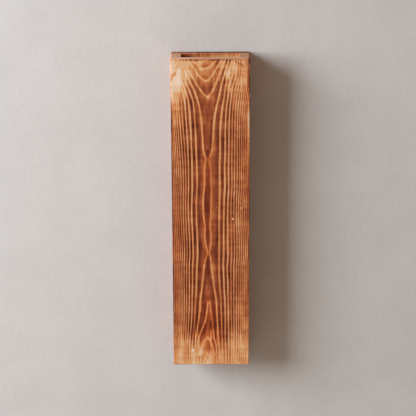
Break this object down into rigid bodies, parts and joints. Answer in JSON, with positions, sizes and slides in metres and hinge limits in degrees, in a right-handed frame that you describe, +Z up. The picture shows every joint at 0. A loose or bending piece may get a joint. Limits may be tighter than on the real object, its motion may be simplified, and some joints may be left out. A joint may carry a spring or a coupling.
{
  "type": "wall planter",
  "caption": "Tall narrow wall planter: a butt-jointed box of torched, brushed softwood, open at the top, with a keyhole plate let into its back and a lift-out plastic liner.",
  "frame": {"origin": "middle of the back face, which lies on the wall", "axes": "+Z up along the boards; the front looks along -Y and the wall is at +Y; +X is to the right seen from the front"},
  "size_m": [0.097, 0.049, 0.4],
  "materials": {
    "torched_wood": "torched and wire-brushed, low satin",
    "plain_wood": "planed, bare",
    "liner_plastic": "moulded, matt",
    "zinc_plate": "bright zinc plated",
    "pin_steel": "drawn wire, dull"
  },
  "bodies": {
    "box": {"front_board": "torched_wood", "back_board": "torched_wood", "left_side": "torched_wood", "right_side": "torched_wood", "floor_block": "plain_wood", "keyhole_plate": "zinc_plate", "plate_screw_upper": "zinc_plate", "plate_screw_lower": "zinc_plate", "back_pin_left_1": "pin_steel", "back_pin_left_2": "pin_steel", "back_pin_left_3": "pin_steel", "back_pin_left_4": "pin_steel", "back_pin_left_5": "pin_steel", "back_pin_right_1": "pin_steel", "back_pin_right_2": "pin_steel", "back_pin_right_3": "pin_steel", "back_pin_right_4": "pin_steel", "back_pin_right_5": "pin_steel", "floor_pin_back_left": "pin_steel", "floor_pin_back_right": "pin_steel", "floor_pin_left_front": "pin_steel", "floor_pin_left_rear": "pin_steel", "floor_pin_right_front": "pin_steel", "floor_pin_right_rear": "pin_steel"},
    "liner": {"liner": "liner_plastic"}
  },
  "joints": [
    {"name": "liner_lift", "type": "slide", "parent": "box", "child": "liner", "axis": [0, 0, 1], "range_m": [0, 0.4]}
  ]
}
